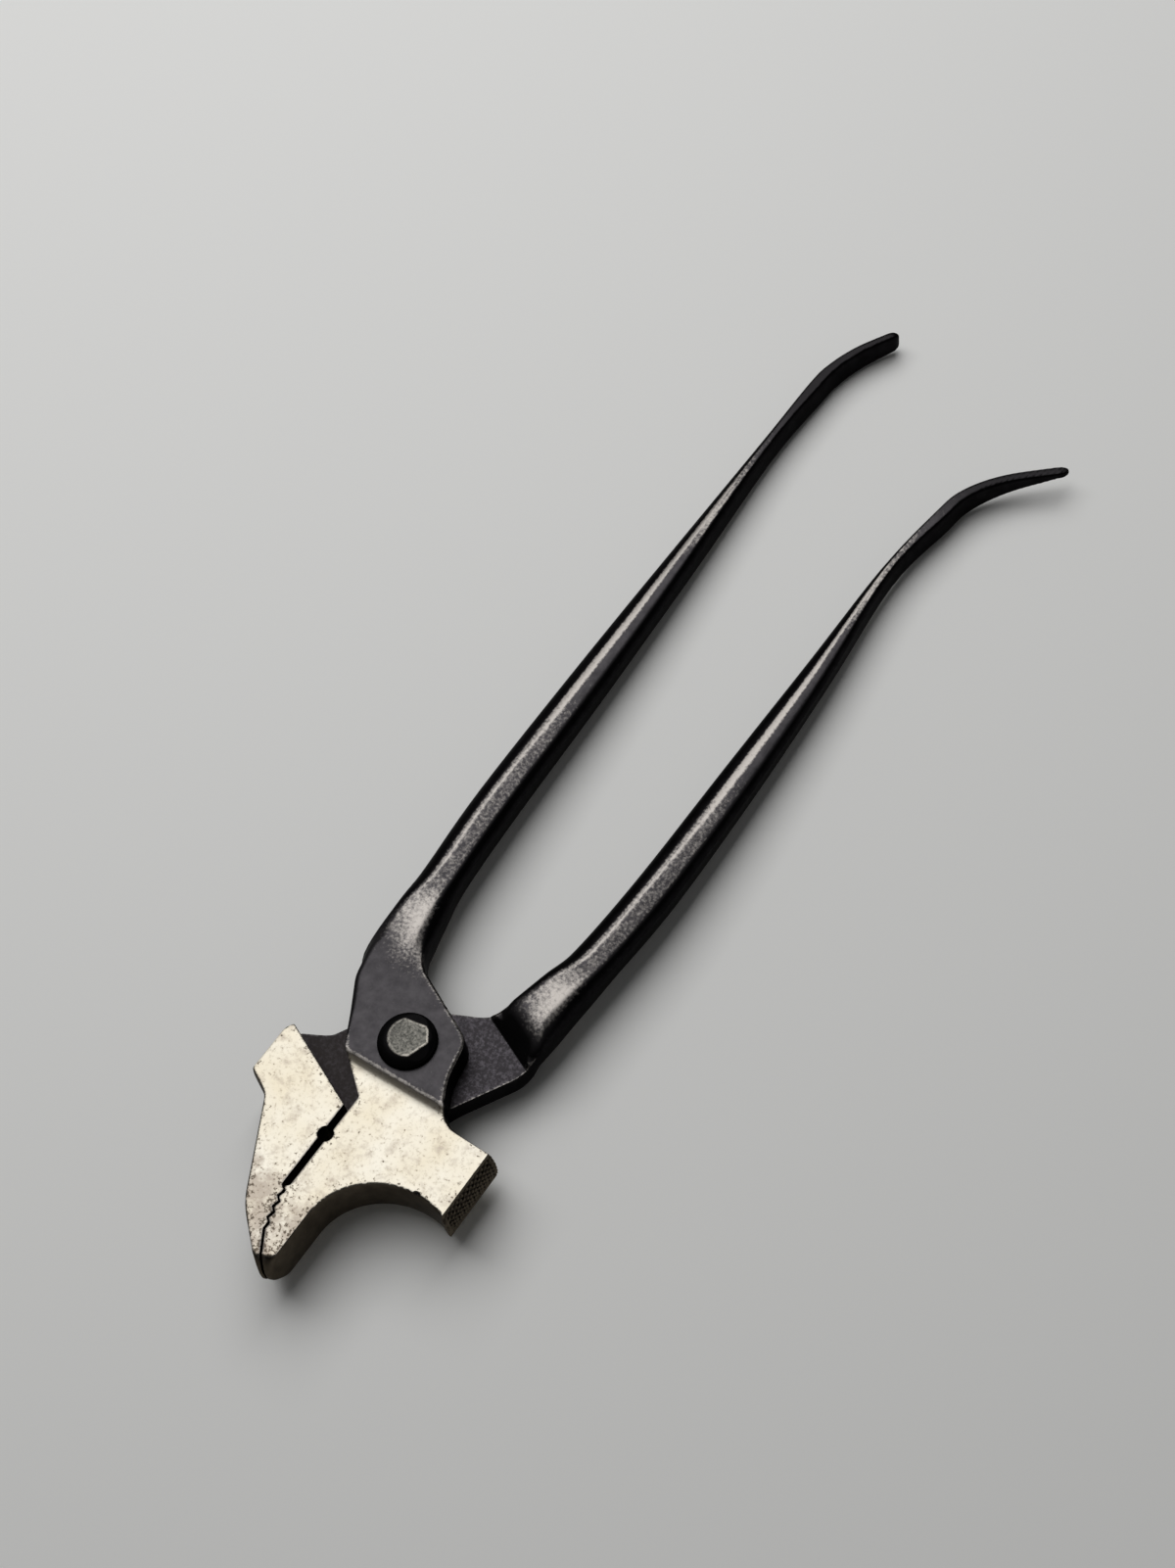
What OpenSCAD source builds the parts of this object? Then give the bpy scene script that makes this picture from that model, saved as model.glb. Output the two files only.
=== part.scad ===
// Lasting pliers: two forged steel levers that cross in a riveted lap joint.
// The origin is on the pivot axis at the flat foot of the rivet, with +Z up,
// the jaws towards -Y, the handles towards +Y and the hammer towards +X.

/* [Lap joint] */
// Thickness of a lever from its lap face to the ground face of its head
half_t = 4.6; // [3.5:0.1:6]
// Height of a joint plate above the ground face of its head
plate_rise = 0.8; // [0.2:0.1:1.5]
// Distance from the pivot to the ridge where the plate steps down to the head
step_y = 6.2; // [5.5:0.1:7]
// Length of the bevel below that ridge
step_run = 1.5; // [0.4:0.1:2]
// Distance from the pivot to the two shoulders of each lap
shoulder = 14.4; // [14:0.1:16]
// Slant of the shoulders
shoulder_angle = 23; // [15:0.5:26]
// Radius of the hollow where a handle rises from its lap
shoulder_r = 4.2; // [2:0.1:5]
// Gap between the two lap faces
lap_gap = 0.1; // [0.06:0.02:0.2]

/* [Rivet] */
// Diameter of the rivet's shank
rivet_d = 6; // [4:0.1:8]
// Running clearance of the shank in the beak lever, on the radius
rivet_clear = 0.05; // [0.02:0.01:0.1]
// Diameter of the rivet's heads
rivet_head_d = 10.4; // [9:0.1:12]
// Height of each head
rivet_head_h = 2.2; // [1.5:0.1:3]
// Height of the straight rim of each head
rivet_rim_h = 0.5; // [0.2:0.1:1]
// Diameter of the flat on each head
rivet_flat_d = 6; // [5:0.1:8]

/* [Jaws] */
// Distance from the pivot to the nose
jaw_reach = 44.4; // [42.5:0.1:50]
// Radius of the nose across its thickness
nose_r = 6; // [5:0.5:20]
// Slant of the nose across the jaws
nose_cut = 24; // [10:1:30]
// Width of the relieved gap behind the teeth
jaw_gap = 1.3; // [0.8:0.1:2]
// Sideways offset of that gap from the pivot
gap_offset = 1.95; // [1.2:0.05:2.4]
// Distance from the pivot to the first tooth
grip_y = 31.2; // [29:0.1:32]
// Number of teeth on each jaw
teeth = 4; // [2:1:5]
// Pitch of the teeth
tooth_pitch = 1.95; // [1.5:0.05:2.2]
// Depth of the teeth
tooth_depth = 0.65; // [0.3:0.05:0.9]
// Place of the notch between two tooth tips, as a share of the pitch
tooth_lean = 0.4; // [0.3:0.05:0.6]
// Gap between the closed jaws, across the jaws
grip_gap = 0.4; // [0.35:0.05:0.8]
// Slant of the toothed edge
tooth_angle = 13; // [5:0.5:18]
// Slant of the plain edge at the nose
nose_angle = 32; // [22:1:35]
// Width of the hammer lever's jaw at the nose
hammer_jaw_w = 0.8; // [0.6:0.1:3]
// Width of the beak lever's jaw at the nose
beak_jaw_w = 0.5; // [0.4:0.1:3]
// Diameter of the nail hole between the jaws
nail_d = 2.7; // [2:0.1:3.6]
// Distance from the pivot to the nail hole
nail_y = 20.4; // [19:0.1:26]

/* [Hammer] */
// Distance from the pivot axis to the striking face
hammer_reach = 24; // [23:0.1:28]
// Width of the striking face
hammer_w = 13; // [11:0.1:14]
// Distance from the pivot to the hammer's upper side
hammer_y = 8.7; // [8.4:0.1:10]
// Half width of the oval hollow between the hammer and the jaw
hollow_rx = 14.4; // [11:0.1:15]
// Half height of that hollow
hollow_ry = 12.6; // [9:0.1:14]
// Crown radius of the striking face across its thickness
crown_r = 15; // [12:1:80]
// Length of the slanted lip between the hollow and the striking face
hammer_lip = 2; // [1:0.1:2.5]
// Height that the hollow reaches above the foot of the striking face
hollow_rise = 1.3; // [0.2:0.1:2]
// Distance from the pivot axis to where the hammer's upper side leaves the plate
hammer_root_x = 13.4; // [12:0.1:14]
// Radius where the hammer's upper side runs into the plate
hammer_fillet = 5; // [1:0.5:6]
// Pitch of the checkering on the striking face
checker_pitch = 0.9; // [0.8:0.1:2.5]
// Depth of the checkering
checker_depth = 0.3; // [0.2:0.05:0.45]

/* [Beak] */
// Distance from the pivot axis to the flat of the beak
beak_reach = 20; // [19:0.1:22]
// Distance from the pivot to the upper end of the beak
beak_top_y = 8.1; // [6.6:0.1:8.4]
// Radius of the corner there
beak_corner_r = 3; // [0.6:0.1:4]
// Length of the flat of the beak
beak_flat = 9.6; // [8:0.1:12]
// Distance from the pivot axis to the waist between beak and jaw
waist_x = 15.2; // [14:0.1:16]
// Distance along the jaw from the flat of the beak to the waist
waist_drop = 2.4; // [1.8:0.1:3.5]
// Radius of the hollow at the waist
waist_r = 4; // [2:0.5:4.5]
// Distance from the pivot axis to where the beak's upper side leaves the plate
beak_root_x = 14.3; // [13.5:0.1:15]
// Distance from the pivot to that place
beak_root_y = 4.5; // [4:0.1:5.5]
// Radius there
beak_root_r = 3; // [1:0.5:4]
// Distance from the pivot axis to the belly of the beak lever's jaw
belly_x = 6; // [5:0.1:7]
// Distance from the pivot to that belly
belly_y = 36.8; // [35:0.1:38]
// Radius of the belly
belly_r = 14; // [4:1:16]

/* [Plates] */
// Distance from the mid-line to the far corner of each joint plate
plate_side_x = 8.3; // [8:0.1:9]
// Distance from the pivot to that corner, towards the handles
plate_side_y = 5.6; // [5:0.1:7]
// Radius of that corner
plate_r = 4; // [1:0.1:4.5]
// Distance from the mid-line to the hollow flank of the hammer lever's plate
flank_x = 9.7; // [9:0.1:10.4]
// Distance from the pivot to that flank, towards the jaws
flank_y = 1.6; // [0.5:0.1:3]
// Radius of that flank
flank_r = 10; // [4:0.5:14]
// Distance from the mid-line to the fork of the handles
fork_x = 7; // [5.5:0.1:7.5]
// Distance from the pivot to the fork on the hammer lever
hammer_fork_y = 12.9; // [12:0.1:14]
// Distance from the pivot to the fork on the beak lever
beak_fork_y = 12.5; // [12:0.1:14]
// Radius of the fork
fork_r = 8; // [4:0.5:9]
// Distance from the mid-line to the cheek of the hammer lever
hammer_cheek_x = 15.8; // [15.2:0.1:17]
// Distance from the pivot to that cheek, towards the handles
hammer_cheek_y = 5.2; // [4.5:0.1:8]
// Distance from the mid-line to the cheek of the beak lever
beak_cheek_x = 18.4; // [17:0.1:19]
// Distance from the pivot to that cheek, towards the handles
beak_cheek_y = 7.4; // [6:0.1:8]
// Radius of the cheeks
cheek_r = 8; // [3:0.5:9]
// Distance from the mid-line to the chin where a plate's cheek runs in to the jaws
chin_x = 9; // [8.4:0.1:9.6]
// Distance from the pivot to the hammer lever's chin, towards the jaws
hammer_chin_y = 6.1; // [5.6:0.1:7]
// Distance from the pivot to the beak lever's chin, towards the jaws
beak_chin_y = 8.2; // [7.5:0.1:9]
// Radius of the chins
chin_r = 6; // [3:0.5:7]
// Distance from the pivot to the throat where the jaws part
throat_y = 12.2; // [11.6:0.1:13]

/* [Handles] */
// Length of the hammer lever's handle, from the pivot to its end
handle_l = 175; // [150:1:200]
// Length by which the beak lever's handle is shorter
beak_short = 13.2; // [6:0.2:18]
// Length of the hammer lever's swept end
hammer_sweep_l = 18; // [12:0.5:24]
// Length of the beak lever's swept end
beak_sweep_l = 19.8; // [14:0.2:26]
// Length of the flattened stretch before the hammer lever's swept end
blade_l = 31; // [20:1:40]
// Distance from the pivot to where a plate begins to slope to its handle
slope_y = 11; // [9:0.5:13]
// Distance from the pivot to where that slope runs out
neck_y = 22; // [19:0.5:26]
// Distance from the mid-line to each handle there
neck_x = 15.1; // [14.4:0.1:15.8]
// Sideways lean of a handle over each length along it, between its plate and there
neck_lean = 0.15; // [0.05:0.01:0.22]
// Width of a handle where it leaves its plate
root_w = 10.2; // [9:0.1:11]
// Width of a handle where the slope runs out
neck_w = 9; // [8.4:0.1:9.8]
// Width of a handle bar
bar_w = 7.8; // [7:0.1:8.4]
// Height of a handle bar
bar_h = 8.2; // [7:0.1:9]
// Width of a handle's flattened end
blade_w = 2.8; // [2:0.1:3.5]
// Height of a handle's flattened end
blade_h = 7.8; // [6:0.1:9]
// Width of a handle at its very end
tip_w = 2; // [1.5:0.1:2.4]
// Height of the hammer lever's handle at its very end
hammer_tip_h = 4.4; // [3:0.1:6]
// Height of the beak lever's handle at its very end
beak_tip_h = 2.2; // [2:0.1:5]
// Drop of the handle ends below the lap face
blade_drop = 0.9; // [0:0.1:2]
// Distance from the mid-line to each handle where it begins to taper
spread = 17.4; // [16.5:0.1:20]
// Distance from the pivot to where the handles begin to taper
taper_y = 48; // [42:1:70]
// How late along the taper the width goes, where 1 is an even taper
taper_bow = 1.8; // [1:0.1:2.4]
// Outward bow of each handle at the middle of its taper
handle_bow = 0.4; // [0:0.1:1.5]
// Distance from the mid-line to the hammer lever's flattened end
hammer_blade_x = 19.5; // [17:0.1:22]
// Distance from the mid-line to the beak lever's flattened end
beak_blade_x = 16.6; // [15:0.1:20]
// Distance from the mid-line to the bend of the hammer lever's handle
hammer_bend_x = 18.8; // [16:0.1:21]
// Distance from the mid-line to the bend of the beak lever's handle
beak_bend_x = 19; // [17:0.1:22]
// Sideways sweep of the hammer lever's handle from its bend to its end
hammer_sweep = 5.8; // [0:0.1:10]
// Sideways sweep of the beak lever's handle from its bend to its end
beak_sweep = 13.4; // [6:0.1:18]
// Rounding of a handle bar's edges as a share of its width and height
edge_share = 0.28; // [0.2:0.02:0.4]
// The same share along the taper and the flattened end, where 0.5 is an oval
oval_share = 0.46; // [0.3:0.02:0.48]

/* [Hidden] */

// Levels above the bench
lap_z = rivet_head_h + plate_rise + half_t;
head_top = lap_z + half_t;
plate_top = head_top + plate_rise;
head_low = lap_z - half_t;
plate_low = head_low - plate_rise;
rivet_top = plate_top + rivet_head_h;
blade_z = lap_z - blade_drop;

// Places along the handles
beak_l = handle_l - beak_short;
hammer_bend_y = handle_l - hammer_sweep_l;
beak_bend_y = beak_l - beak_sweep_l;
blade_y = hammer_bend_y - blade_l;

// Small sizes that the forms share
arc_steps = 10;
corner_r = 0.6;
margin = 1;
far = 250;

// The flat top and side of a handle bar, between its rounded edges
facet_w = bar_w * (1 - 2 * edge_share);
facet_h = bar_h - 2 * edge_share * root_w;

// A unit vector along v
function unit(v) = v / norm(v);

// The plan vector v turned by the angle a
function turned(v, a) = [v.x * cos(a) - v.y * sin(a), v.x * sin(a) + v.y * cos(a)];

// Points of an oval arc about c, with half sizes rx and ry, from the angle a to the angle b
function oval(c, rx, ry, a, b) = [
    for (i = [0:arc_steps])
        let (t = a + (b - a) * i / arc_steps)
        c + [rx * cos(t), ry * sin(t)]
];

// The corner b between a and c, rounded with the radius r
function fillet(a, b, c, r) =
    let (
        u = unit(a - b),
        v = unit(c - b),
        half = acos(u * v) / 2,
        centre = b + unit(u + v) * r / sin(half),
        start = b + u * r / tan(half) - centre,
        end = b + v * r / tan(half) - centre,
        sweep = sign(cross(start, end)) * (180 - 2 * half)
    )
    [for (i = [0:arc_steps]) centre + turned(start, sweep * i / arc_steps)];

// A closed outline from corners [x, y, r], where r is 0 at a sharp corner
function outline(corners) =
    let (n = len(corners), at = function(i) [corners[i][0], corners[i][1]])
    [
        for (i = [0:n - 1])
            let (before = at((i + n - 1) % n), after = at((i + 1) % n), r = corners[i][2])
            each r == 0 ? [at(i)] : fillet(before, at(i), after, r)
    ];

// A point at the distance s down the toothed edge and d across it, then down the plain edge past the nose
grip_start = [-gap_offset, -grip_y];
grip_end = grip_start + teeth * tooth_pitch * [sin(tooth_angle), -cos(tooth_angle)];
nose_run = (jaw_reach + grip_end.y) / cos(nose_angle);
nose_point = grip_end + nose_run * [sin(nose_angle), -cos(nose_angle)];
past_nose = nose_point + margin * [sin(nose_angle), -cos(nose_angle)];
function on_grip(s, d) =
    grip_start + s * [sin(tooth_angle), -cos(tooth_angle)] + d * [cos(tooth_angle), sin(tooth_angle)];

// One jaw's edge from the nail hole's gap past the nose, moved across the jaws by shift
function grip_edge(shift) = [
    for (i = [0:teeth - 1])
        each [
            on_grip(i * tooth_pitch, -tooth_depth / 2),
            on_grip((i + tooth_lean) * tooth_pitch, tooth_depth / 2)
        ],
    grip_end,
    past_nose
] + [for (i = [0:2 * teeth + 1]) [shift, 0]];

// Sharp corners from plain points
function sharp(points) = [for (p = points) [p.x, p.y, 0]];

// Handle stations [x, y, z, width, height, share]: from inside the plate out to the bar, along the taper to
// the blade, then round a parabola from the bend to the end while the lower edge rises
taper_steps = 3;
sweep_steps = 3;
function handle_stations(blade_x, bend_x, bend_y, sweep, end_y, tip_h) =
    let (
        neck_at = function(y) neck_x - neck_lean * (neck_y - y),
        inner = [neck_at(slope_y / 2), slope_y / 2, lap_z, facet_w, bar_h, edge_share],
        root = [neck_at(slope_y), slope_y, lap_z, root_w, bar_h, edge_share],
        neck = [neck_x, neck_y, lap_z, neck_w, bar_h, edge_share],
        bar = [(neck_x + spread) / 2, (2 * neck_y + taper_y) / 3, lap_z, bar_w, bar_h, edge_share],
        taper = [spread, taper_y, lap_z, bar_w, bar_h],
        blade = [blade_x, blade_y, blade_z, blade_w, blade_h],
        thinned = function(s)
            let (at = taper + (blade - taper) * s)
            [
                at[0] + handle_bow * 4 * s * (1 - s),
                at[1],
                at[2],
                bar_w + (blade_w - bar_w) * s ^ taper_bow,
                at[4]
            ]
    )
    [
        inner,
        root,
        neck,
        bar,
        for (k = [0:taper_steps])
            concat(thinned(k / taper_steps), k == 0 ? edge_share : oval_share),
        for (k = [0:sweep_steps])
            let (s = k / sweep_steps, h = blade_h + (tip_h - blade_h) * s ^ 2)
            [
                bend_x + sweep * s ^ 2,
                bend_y + (end_y - bend_y) * s,
                blade_z + (blade_h - h) / 2,
                blade_w + (tip_w - blade_w) * s,
                h,
                oval_share
            ]
    ];

// A Catmull-Rom curve through stations p at the whole and fractional place t
function spline(p, t) =
    let (
        i = min(floor(t), len(p) - 2),
        f = t - i,
        a = p[max(i - 1, 0)],
        b = p[i],
        c = p[i + 1],
        d = p[min(i + 2, len(p) - 1)]
    )
    0.5 * (2 * b + (c - a) * f + (2 * a - 5 * b + 4 * c - d) * f ^ 2 + (3 * b - a - 3 * c + d) * f ^ 3);

// A ring of the width w and height h, square to the plan direction dir, with oval corners that take the given
// share of each
section_steps = 5;
function ring(centre, dir, w, h, share) = [
    for (quarter = [0:3], i = [0:section_steps])
        let (
            a = 90 * (quarter + i / section_steps),
            u = w * ((quarter == 0 || quarter == 3 ? 1 : -1) * (0.5 - share) + share * cos(a)),
            v = h * ((quarter < 2 ? 1 : -1) * (0.5 - share) + share * sin(a))
        )
        [centre.x + u * dir.y, centre.y - u * dir.x, centre.z + v]
];

// A closed loft through rings of equal length
module loft(rings) {
    n = len(rings[0]);
    last = len(rings) - 1;
    sides = [
        for (k = [0:last - 1], i = [0:n - 1])
            let (a = k * n + i, b = k * n + (i + 1) % n)
            each [[a, b, a + n], [b, b + n, a + n]]
    ];
    caps = [[for (i = [n - 1:-1:0]) i], [for (i = [0:n - 1]) last * n + i]];
    polyhedron([for (one = rings) each one], concat(sides, caps));
}

// A forged handle: a bar with rounded edges that grows oval and thins into a tall blade with a round end
steps_per_station = 5;
end_steps = 5;
end_angle = 78;
back_step = 0.05;
module handle(stations) {
    last = len(stations) - 1;
    along = function(t)
        let (d = spline(stations, t) - spline(stations, t - back_step))
        unit([d.x, d.y]);
    body = [
        for (k = [0:last * steps_per_station])
            let (t = k / steps_per_station, s = spline(stations, t))
            ring([s[0], s[1], s[2]], along(max(t, back_step)), s[3], s[4], s[5])
    ];
    e = stations[last];
    tip = [
        for (k = [1:end_steps])
            let (
                a = end_angle * k / end_steps,
                dir = along(last),
                out = dir * e[3] * sin(a),
                w = e[3] * cos(a)
            )
            ring([e[0] + out.x, e[1] + out.y, e[2]], dir, w, (e[4] + e[4] * cos(a)) / 2, e[5])
    ];
    loft(concat(body, tip));
}

// Everything between two levels inside a plan outline
module slab(points, low, high) {
    translate([0, 0, low])
        linear_extrude(high - low)
            polygon(points);
}

// Everything inside a side outline given as [y, z] points
module side_cut(points) {
    translate([-far / 2, 0, 0])
        rotate([90, 0, 90])
            linear_extrude(far)
                polygon(points);
}

// Side outline of the upper lever: ground head, bevelled step, raised plate and sloping neck
upper_side = [
    [-far / 2, head_low],
    [-far / 2, head_top],
    [-step_y - step_run, head_top],
    [-step_y, plate_top],
    [slope_y, plate_top],
    [neck_y, lap_z + facet_h / 2],
    [neck_y, lap_z - facet_h / 2],
    [0, lap_z - facet_h / 2],
    [0, head_low]
];

// The same for the lower lever, upside down
lower_side = [for (p = upper_side) [p.x, 2 * lap_z - p.y]];

// The space that the other lever's plate turns in, from the lap face up, hollowed towards the handle
module lap_space() {
    rotate([90, 0, 90])
        translate([0, 0, -far / 2])
            linear_extrude(far)
                polygon(concat(
                    [[-shoulder, lap_z + far], [-shoulder, lap_z - lap_gap / 2]],
                    oval([shoulder, lap_z - lap_gap / 2 + shoulder_r], shoulder_r, shoulder_r, 270, 360),
                    [[shoulder + shoulder_r, lap_z + far]]
                ));
}

// Plan of the hammer lever, from its teeth round the hollow, the hammer, the plate and the neck
hollow_x = nose_point.x + grip_gap / 2 + hammer_jaw_w + hollow_rx;
hollow_y = hammer_y + hammer_w - hollow_rise + hollow_ry;
hollow_end = acos((hammer_reach - hammer_lip - hollow_x) / hollow_rx);
hammer_plan = concat(
    sharp(grip_edge(grip_gap / 2)),
    [[hollow_x - hollow_rx, past_nose.y, 0]],
    sharp(oval([hollow_x, -hollow_y], hollow_rx, hollow_ry, 180, hollow_end)),
    [
        [hammer_reach, -hammer_y - hammer_w, corner_r],
        [hammer_reach, -hammer_y, corner_r],
        [hammer_root_x, -hammer_y, hammer_fillet],
        [flank_x, -flank_y, flank_r],
        [plate_side_x, plate_side_y, plate_r],
        [-fork_x, hammer_fork_y, fork_r],
        [facet_w / 2 - neck_x, neck_y, 0],
        [-facet_w / 2 - neck_x, neck_y, 0],
        [-hammer_cheek_x, hammer_cheek_y, cheek_r],
        [-chin_x, -hammer_chin_y, chin_r],
        [jaw_gap / 2 - gap_offset, -throat_y, corner_r],
        [jaw_gap / 2 - gap_offset, tooth_depth - grip_y, 0]
    ]
);

// Plan of the beak lever, from its neck round the plate, the teeth, the waist and the beak
beak_plan = concat(
    [
        [-plate_side_x, plate_side_y, plate_r],
        [fork_x, beak_fork_y, fork_r],
        [neck_x - facet_w / 2, neck_y, 0],
        [neck_x + facet_w / 2, neck_y, 0],
        [beak_cheek_x, beak_cheek_y, cheek_r],
        [chin_x, -beak_chin_y, chin_r],
        [-gap_offset - jaw_gap / 2, -throat_y, corner_r],
        [-gap_offset - jaw_gap / 2, tooth_depth - grip_y, 0]
    ],
    sharp(grip_edge(-grip_gap / 2)),
    [
        [past_nose.x - grip_gap / 2 - beak_jaw_w, past_nose.y, 0],
        [-belly_x, -belly_y, belly_r],
        [-waist_x, -beak_top_y - beak_flat - waist_drop, waist_r],
        [-beak_reach, -beak_top_y - beak_flat, corner_r],
        [-beak_reach, -beak_top_y, beak_corner_r],
        [-beak_root_x, -beak_root_y, beak_root_r]
    ]
);

module bore(d) {
    translate([0, 0, -margin])
        cylinder(d = d, h = rivet_top + 2 * margin, $fn = 96);
}

module nail_hole() {
    translate([-gap_offset, -nail_y, -margin])
        cylinder(d = nail_d, h = rivet_top + 2 * margin, $fn = 48);
}

// Everything behind the nose, which is round across its thickness and slants across the jaws
module behind_nose() {
    translate([nose_point.x, nose_point.y, lap_z])
        rotate([0, 0, nose_cut])
            translate([-far / 2, nose_r, 0])
                rotate([90, 0, 90])
                    linear_extrude(far) {
                        circle(nose_r, $fn = 96);
                        translate([0, -far / 2])
                            square(far);
                    }
}

// Everything behind the crowned striking face
module behind_crown() {
    translate([hammer_reach - crown_r, far / 2, lap_z])
        rotate([90, 0, 0])
            linear_extrude(far) {
                circle(crown_r, $fn = 96);
                translate([-far, -crown_r])
                    square([far, 2 * crown_r]);
            }
}

// Crossed V grooves on the striking face, which run out where its crown falls away
module checkering() {
    rows = ceil((hammer_w + 2 * half_t) / checker_pitch / 2);
    side = checker_depth * sqrt(2);
    translate([hammer_reach, -hammer_y - hammer_w / 2, lap_z])
        for (slant = [-45, 45], i = [-rows:rows])
            rotate([slant, 0, 0])
                translate([0, i * checker_pitch, 0])
                    rotate([0, 0, 45])
                        cube([side, side, far], center = true);
}

module hammer_lever() {
    color("dimgray")
        difference() {
            union() {
                intersection() {
                    slab(outline(hammer_plan), plate_low, plate_top);
                    side_cut(upper_side);
                    behind_nose();
                    behind_crown();
                }
                mirror([1, 0, 0])
                    handle(handle_stations(
                        hammer_blade_x, hammer_bend_x, hammer_bend_y,
                        -hammer_sweep, handle_l, hammer_tip_h
                    ));
            }
            translate([0, 0, 2 * lap_z])
                mirror([0, 0, 1])
                    rotate([0, 0, shoulder_angle])
                        lap_space();
            bore(rivet_d);
            nail_hole();
            checkering();
        }
}

module beak_lever() {
    color("silver")
        difference() {
            union() {
                intersection() {
                    slab(outline(beak_plan), plate_low, plate_top);
                    side_cut(lower_side);
                    behind_nose();
                }
                handle(handle_stations(
                    beak_blade_x, beak_bend_x, beak_bend_y,
                    beak_sweep, beak_l, beak_tip_h
                ));
            }
            rotate([0, 0, -shoulder_angle])
                lap_space();
            bore(rivet_d + 2 * rivet_clear);
            nail_hole();
        }
}

// Solid rivet: a shank with a domed, flat-topped head closed against each plate
dome_step = 15;
module pivot_rivet() {
    rim_r = rivet_head_d / 2;
    flat_r = rivet_flat_d / 2;
    low_seat = rivet_head_h - lap_gap / 2;
    dome = [
        for (a = [0:dome_step:90])
            [flat_r + (rim_r - flat_r) * cos(a), rivet_rim_h + (rivet_head_h - rivet_rim_h) * sin(a)]
    ];
    color("black")
        rotate_extrude($fn = 96)
            polygon(concat(
                [[0, 0]],
                [for (i = [len(dome) - 1:-1:0]) [dome[i].x, rivet_head_h - dome[i].y]],
                [[rim_r, low_seat], [rivet_d / 2, low_seat], [rivet_d / 2, plate_top], [rim_r, plate_top]],
                [for (p = dome) [p.x, plate_top + p.y]],
                [[0, rivet_top]]
            ));
}

hammer_lever();
beak_lever();
pivot_rivet();
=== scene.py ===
import bpy
import numpy as np
from mathutils import Matrix, Vector


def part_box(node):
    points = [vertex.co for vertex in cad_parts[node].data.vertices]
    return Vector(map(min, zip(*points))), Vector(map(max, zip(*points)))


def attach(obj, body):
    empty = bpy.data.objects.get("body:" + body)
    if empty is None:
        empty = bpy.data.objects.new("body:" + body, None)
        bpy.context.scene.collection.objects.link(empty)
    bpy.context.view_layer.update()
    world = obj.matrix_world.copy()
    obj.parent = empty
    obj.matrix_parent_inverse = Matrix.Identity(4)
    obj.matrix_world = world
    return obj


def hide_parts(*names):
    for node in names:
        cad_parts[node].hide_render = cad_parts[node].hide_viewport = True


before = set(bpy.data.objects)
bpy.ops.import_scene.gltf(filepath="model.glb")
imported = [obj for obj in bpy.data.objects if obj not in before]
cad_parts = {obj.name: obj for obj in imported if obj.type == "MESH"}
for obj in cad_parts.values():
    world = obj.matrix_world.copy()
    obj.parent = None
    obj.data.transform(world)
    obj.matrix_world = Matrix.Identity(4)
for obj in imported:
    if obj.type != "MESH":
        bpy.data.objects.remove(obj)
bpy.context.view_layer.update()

# Hammer lever: one drop forging in tool steel that carries the left handle, the upper joint plate, the
# right jaw and the checkered hammer. Its head is ground bright on both faces, the rest keeps the black
# forge scale, worn through on edges and on top of the handle, with painted highlights on the edges facing
# right, the neck and the handle's left edge and crown, and the rivet is fast in its bore.

# Sizes in millimetres, about the pivot axis: the lap, whose level is taken from the rivet's own box, its
# leaning shoulders, the step down to the head and the slope down to the neck
MM = 0.001
rivet_low, rivet_high = (np.array(corner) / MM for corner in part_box("pivot_rivet"))
lap_z = (rivet_low[2] + rivet_high[2]) / 2
half_t = 4.6
plate_rise = 0.8
lap_gap = 0.1
shoulder = 14.4
shoulder_angle = np.radians(23)
shoulder_lean = np.radians(48)
shoulder_r = 1.4
shoulder_run = 2.0
bore_r = 3.1
step_y = 6.2
step_run = 1.5
step_slant = 0.033
slope_y = 11.0
neck_y = 22.0
neck_x = 15.1
neck_lean = 0.15

# The jaws: their gap, their leaning teeth and the round nose that slants across them
jaw_reach = 44.4
nose_r = 6.0
nose_cut = np.radians(24)
jaw_gap = 1.3
gap_offset = 1.95
grip_y = 31.2
grip_gap = 0.4
teeth = 4
tooth_pitch = 1.95
tooth_depth = 0.65
tooth_lean = 0.4
tooth_angle = np.radians(13)
nose_angle = np.radians(32)
hammer_jaw_w = 0.8
nail_r = 1.35
nail_y = 20.4
throat_y = 12.2

# The hammer and the oval hollow beside it, with the chips (x, y, radius) that blows knocked out of the
# hollow's rim. The crown and the checkering set in along x, and the checkering stops at a margin short of
# the ground faces.
hammer_reach = 24.0
hammer_w = 13.0
hammer_y = 8.7
hollow_rx = 14.4
hollow_ry = 12.6
hammer_lip = 2.0
hollow_rise = 1.3
crown_r = 15.0
crown_from = 8.0
checker_pitch = 0.95
checker_depth = 0.38
checker_from = 18.0
checker_full = 20.0
checker_margin = 0.25
checker_fade = 0.65
edge_chips = [(17.4, -20.8, 0.85), (21.4, -21.2, 0.7), (22.5, -21.3, 0.6)]
chip_rise = 0.35

# The handles: a bar rolled a little to the right, that thins into a blade. Its edges are rounded by a
# share of the width and height, larger on the left, and most_tall is the largest share of the height.
root_w = 10.2
neck_w = 9.0
bar_w = 7.8
bar_h = 8.2
blade_w = 2.8
blade_h = 5.6
tip_w = 2.0
blade_drop = 0.3
spread = 17.4
taper_y = 48.0
taper_bow = 1.8
edge_share = 0.28
facet_left = 0.5
taper_left = 0.67
bar_right = 0.22
blade_share = 0.2
most_tall = 0.46
handle_roll = np.radians(9)
roll_span = (16, 34, 90, 126)
tip_turn = np.radians(78)
facet_w = bar_w * (1 - 2 * edge_share)
facet_h = bar_h - 2 * edge_share * root_w

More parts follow.
